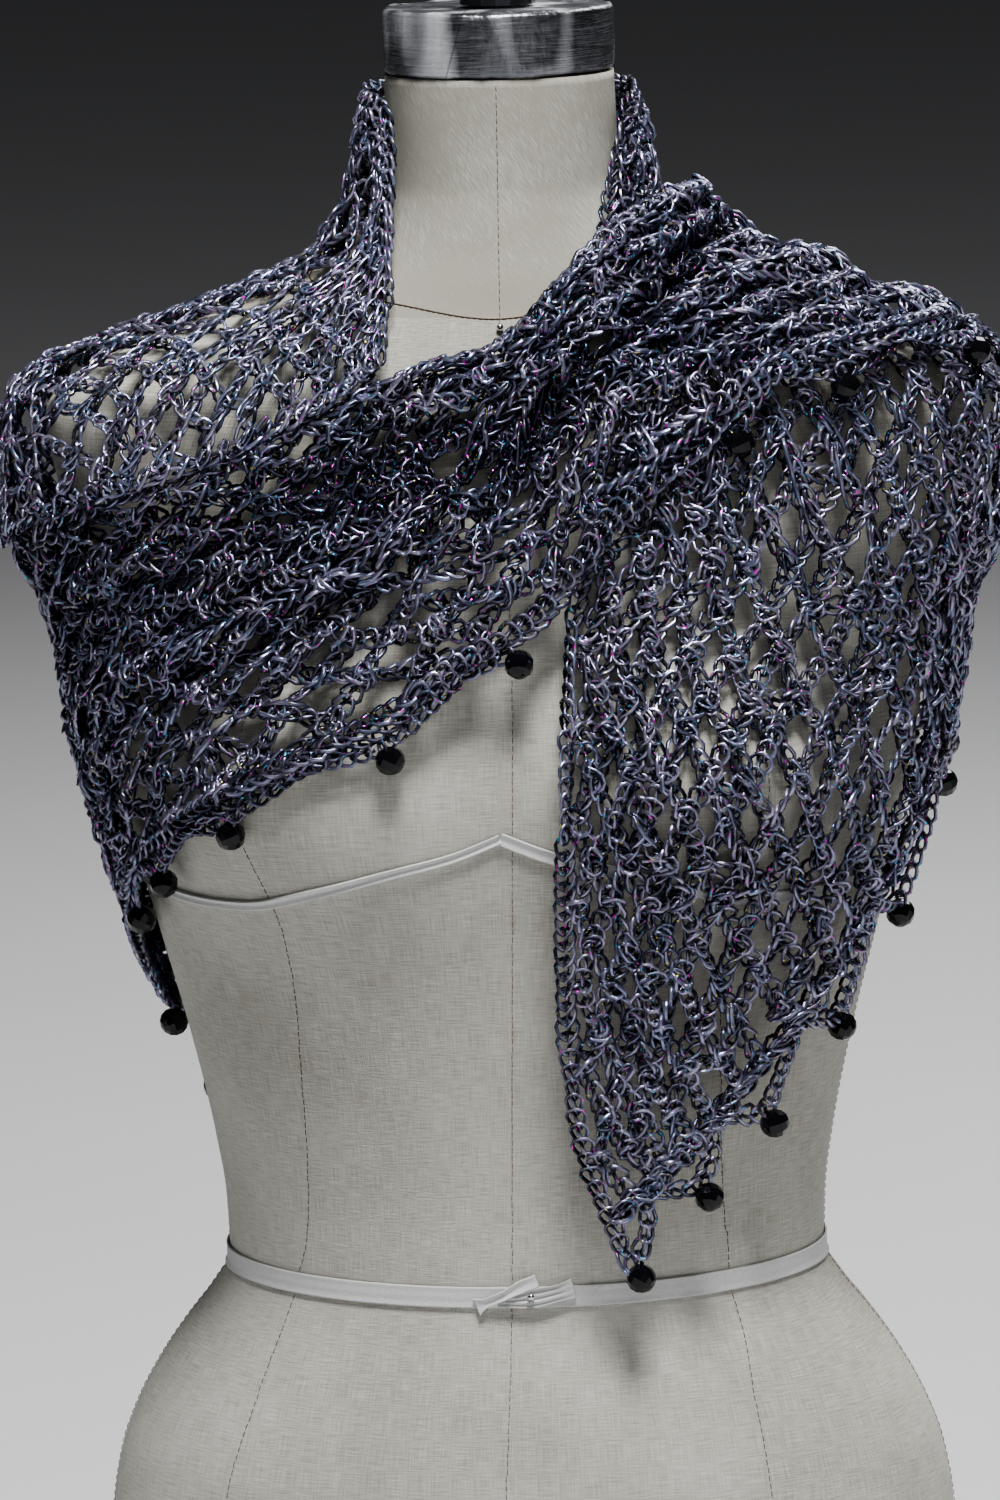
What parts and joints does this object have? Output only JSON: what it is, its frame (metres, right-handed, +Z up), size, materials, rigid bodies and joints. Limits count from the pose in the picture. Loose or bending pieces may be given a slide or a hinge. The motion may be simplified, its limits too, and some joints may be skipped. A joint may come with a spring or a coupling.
{
  "type": "crochet shawl on a dress form",
  "caption": "Wide triangular crochet net shawl with a beaded hem, wrapped across the chest and over one shoulder of a limbless tabletop dress form.",
  "frame": {"origin": "centre of the flat base of the form, on the surface it stands on", "axes": "+Z up the form, -Y towards its front, +X towards its own left side"},
  "size_m": [0.3816, 0.2512, 0.7179],
  "materials": {
    "form_linen": "plain-woven linen, matt",
    "neck_foil": "crumpled foil tape",
    "fixture_metal": "dark satin",
    "cotton_tape": "flat cotton tape",
    "crochet_yarn": "shiny crochet yarn with coloured glints",
    "jet_beads": "opaque black, faceted, polished"
  },
  "bodies": {
    "root": {"back_panel": "crochet_yarn", "bead_01": "jet_beads", "bead_02": "jet_beads", "bead_03": "jet_beads", "bead_04": "jet_beads", "bead_05": "jet_beads", "bead_06": "jet_beads", "bead_07": "jet_beads", "bead_08": "jet_beads", "bead_09": "jet_beads", "bead_10": "jet_beads", "bead_11": "jet_beads", "bead_12": "jet_beads", "bead_13": "jet_beads", "bead_14": "jet_beads", "bead_15": "jet_beads", "bead_16": "jet_beads", "bead_17": "jet_beads", "bead_18": "jet_beads", "bead_19": "jet_beads", "bead_20": "jet_beads", "bead_21": "jet_beads", "bead_22": "jet_beads", "bead_23": "jet_beads", "bead_24": "jet_beads", "bead_25": "jet_beads", "bead_26": "jet_beads", "bead_27": "jet_beads", "bead_28": "jet_beads", "bead_29": "jet_beads", "bead_30": "jet_beads", "bead_31": "jet_beads", "bead_32": "jet_beads", "bead_33": "jet_beads", "bust_tape": "cotton_tape", "form_torso": "form_linen", "front_swag": "crochet_yarn", "hanging_end": "crochet_yarn", "neck_cap": "neck_foil", "neck_fixture": "fixture_metal", "right_cape": "crochet_yarn", "thrown_end": "crochet_yarn", "waist_knot": "cotton_tape", "waist_tail_left": "cotton_tape", "waist_tail_right": "cotton_tape", "waist_tape": "cotton_tape"}
  },
  "joints": []
}
